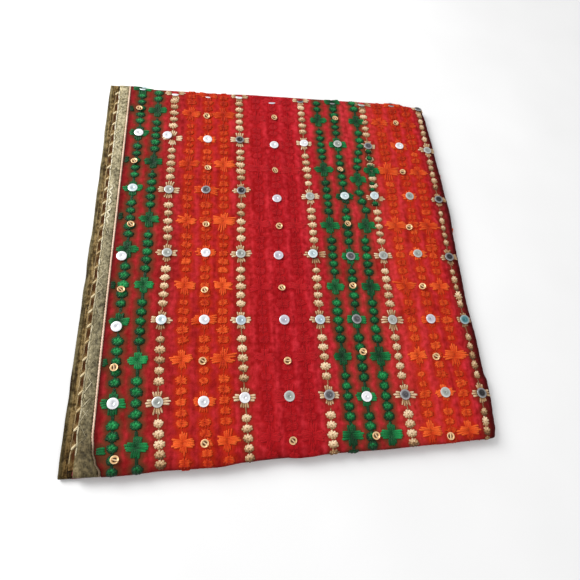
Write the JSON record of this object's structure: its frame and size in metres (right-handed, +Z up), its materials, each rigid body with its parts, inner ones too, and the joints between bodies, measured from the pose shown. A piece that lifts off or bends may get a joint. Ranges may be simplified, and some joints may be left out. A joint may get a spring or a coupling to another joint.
{
  "type": "folded phulkari shawl",
  "caption": "Red phulkari shawl folded flat, with bands of satin-stitch flowers and crosses, set mirrors, sequins and gold tape along its hems.",
  "frame": {"origin": "middle of the underside, on the surface that the folded shawl rests on", "axes": "+Z up out of the embroidered face, +Y from the front fold to the back folds along the embroidered columns, +X from the gold-taped hems to the last fold"},
  "size_m": [0.4762, 0.5194, 0.0128],
  "materials": {
    "cloth": "plain-woven cotton, soft nap, red with crimson bands",
    "gold_tape": "crinkled metallic tissue ribbon",
    "piping": "matte cotton cord",
    "braid": "dark braid with gold cord",
    "green_thread": "silk floss, satin stitch",
    "orange_thread": "silk floss, satin stitch",
    "cream_thread": "silk floss, satin stitch",
    "red_thread": "silk floss, satin stitch",
    "mirror": "polished glass mirror",
    "sequin": "polished gold cup sequin"
  },
  "bodies": {
    "root": {"outer_cloth": "cloth", "inner_layers": "cloth", "upper_hem_tape": "gold_tape", "lower_hem_tape": "gold_tape", "piping": "piping", "zigzag_braid": "braid"}
  },
  "joints": []
}
